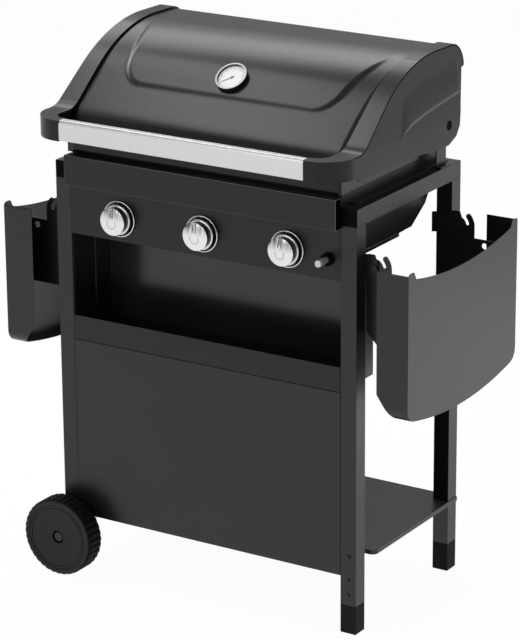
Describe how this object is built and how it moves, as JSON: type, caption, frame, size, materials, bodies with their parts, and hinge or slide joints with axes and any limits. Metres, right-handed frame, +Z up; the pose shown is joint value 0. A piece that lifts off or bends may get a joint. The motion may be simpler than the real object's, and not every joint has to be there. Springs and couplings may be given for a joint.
{
  "type": "gas barbecue grill",
  "caption": "Gas barbecue on a wheeled cart with a domed lid, control knobs, storage recess and folding side tables.",
  "frame": {"origin": "on the floor, under the middle of the bounding box with both side tables folded", "axes": "+Z up, the control panel faces -Y, +X to the right as seen by the person cooking"},
  "size_m": [0.944, 0.55, 1.122],
  "materials": {
    "dark_paint": "satin",
    "frame_plastic": "matte",
    "wheel_plastic": "matte",
    "cap_plastic": "satin",
    "plated_steel": "satin",
    "burner_steel": "satin",
    "brass": "satin",
    "chrome": "polished",
    "bezel_plastic": "gloss",
    "handle_aluminium": "satin",
    "firebox_enamel": "satin",
    "grate_iron": "matte",
    "ceramic": "gloss",
    "dial_white": "matte",
    "needle_paint": "satin",
    "clear_glass": "polished"
  },
  "bodies": {
    "cart": {"front_left_leg": "dark_paint", "rear_left_leg": "dark_paint", "front_right_leg": "dark_paint", "rear_right_leg": "dark_paint", "left_rail": "dark_paint", "right_rail": "dark_paint", "fascia": "dark_paint", "control_panel": "dark_paint", "recess_back": "dark_paint", "recess_sides": "dark_paint", "storage_shelf": "dark_paint", "front_panel": "dark_paint", "bottom_shelf": "dark_paint", "hinge_brackets": "dark_paint", "table_brackets": "dark_paint", "frame_screws": "dark_paint", "rail_plugs": "frame_plastic", "foot_caps": "frame_plastic", "axle_caps": "frame_plastic", "axle": "plated_steel", "tray_runners": "plated_steel", "hinge_pins": "plated_steel", "pivot_bolts": "plated_steel", "latch_pins": "plated_steel", "gas_manifold": "plated_steel", "left_burner": "burner_steel", "middle_burner": "burner_steel", "right_burner": "burner_steel", "flame_tamers": "burner_steel", "gas_valves": "brass", "knob_bezels": "bezel_plastic", "igniter_body": "bezel_plastic", "firebox": "firebox_enamel", "cooking_grates": "grate_iron", "spark_electrodes": "ceramic"},
    "lid": {"lid_shell": "dark_paint", "left_end_cap": "cap_plastic", "right_end_cap": "cap_plastic", "handle": "handle_aluminium", "thermometer_case": "chrome", "thermometer_dial": "dial_white", "thermometer_glass": "clear_glass"},
    "thermometer_pointer": {"thermometer_needle": "needle_paint"},
    "left_side_table": {"left_table": "dark_paint", "left_table_arms": "dark_paint"},
    "right_side_table": {"right_table": "dark_paint", "right_table_arms": "dark_paint"},
    "front_cart_wheel": {"front_wheel": "wheel_plastic"},
    "rear_cart_wheel": {"rear_wheel": "wheel_plastic"},
    "igniter_push": {"igniter_button": "chrome"},
    "drip_tray": {"grease_tray": "firebox_enamel"},
    "left_stem": {"left_valve_stem": "brass"},
    "left_control": {"left_knob": "frame_plastic", "left_knob_face": "chrome"},
    "middle_stem": {"middle_valve_stem": "brass"},
    "middle_control": {"middle_knob": "frame_plastic", "middle_knob_face": "chrome"},
    "right_stem": {"right_valve_stem": "brass"},
    "right_control": {"right_knob": "frame_plastic", "right_knob_face": "chrome"}
  },
  "joints": [
    {"name": "lid_hinge", "type": "hinge", "parent": "cart", "child": "lid", "pos_m": [0, 0.156, 0.963], "axis": [-1, 0, 0], "range_deg": [0, 90]},
    {"name": "pointer_turn", "type": "hinge", "parent": "lid", "child": "thermometer_pointer", "pos_m": [0, -0.079, 1.06418], "axis": [0, 0.6184, -0.7859], "range_deg": [0, 240]},
    {"name": "left_table_hinge", "type": "hinge", "parent": "cart", "child": "left_side_table", "pos_m": [-0.368, 0.012, 0.756], "axis": [0, 1, 0], "range_deg": [0, 90]},
    {"name": "right_table_hinge", "type": "hinge", "parent": "cart", "child": "right_side_table", "pos_m": [0.368, 0.012, 0.756], "axis": [0, -1, 0], "range_deg": [0, 90]},
    {"name": "front_wheel_spin", "type": "hinge", "parent": "cart", "child": "front_cart_wheel", "pos_m": [-0.3325, -0.228, 0.0825], "axis": [0, 1, 0], "continuous": true},
    {"name": "rear_wheel_spin", "type": "hinge", "parent": "cart", "child": "rear_cart_wheel", "pos_m": [-0.3325, 0.252, 0.0825], "axis": [0, 1, 0], "continuous": true},
    {"name": "igniter_press", "type": "slide", "parent": "cart", "child": "igniter_push", "axis": [0, 1, 0], "range_m": [0, 0.008], "stiffness_N_per_m": 600, "springref_m": -0.006},
    {"name": "tray_slide", "type": "slide", "parent": "cart", "child": "drip_tray", "axis": [0, 1, 0], "range_m": [0, 0.19]},
    {"name": "left_stem_turn", "type": "hinge", "parent": "cart", "child": "left_stem", "pos_m": [-0.196, -0.213, 0.777], "axis": [0, -1, 0], "range_deg": [0, 180]},
    {"name": "left_knob_press", "type": "slide", "parent": "left_stem", "child": "left_control", "axis": [0, 1, 0], "range_m": [0, 0.003], "stiffness_N_per_m": 800, "springref_m": -0.004},
    {"name": "middle_stem_turn", "type": "hinge", "parent": "cart", "child": "middle_stem", "pos_m": [0, -0.213, 0.777], "axis": [0, -1, 0], "range_deg": [0, 180]},
    {"name": "middle_knob_press", "type": "slide", "parent": "middle_stem", "child": "middle_control", "axis": [0, 1, 0], "range_m": [0, 0.003], "stiffness_N_per_m": 800, "springref_m": -0.004},
    {"name": "right_stem_turn", "type": "hinge", "parent": "cart", "child": "right_stem", "pos_m": [0.196, -0.213, 0.777], "axis": [0, -1, 0], "range_deg": [0, 180]},
    {"name": "right_knob_press", "type": "slide", "parent": "right_stem", "child": "right_control", "axis": [0, 1, 0], "range_m": [0, 0.003], "stiffness_N_per_m": 800, "springref_m": -0.004}
  ]
}
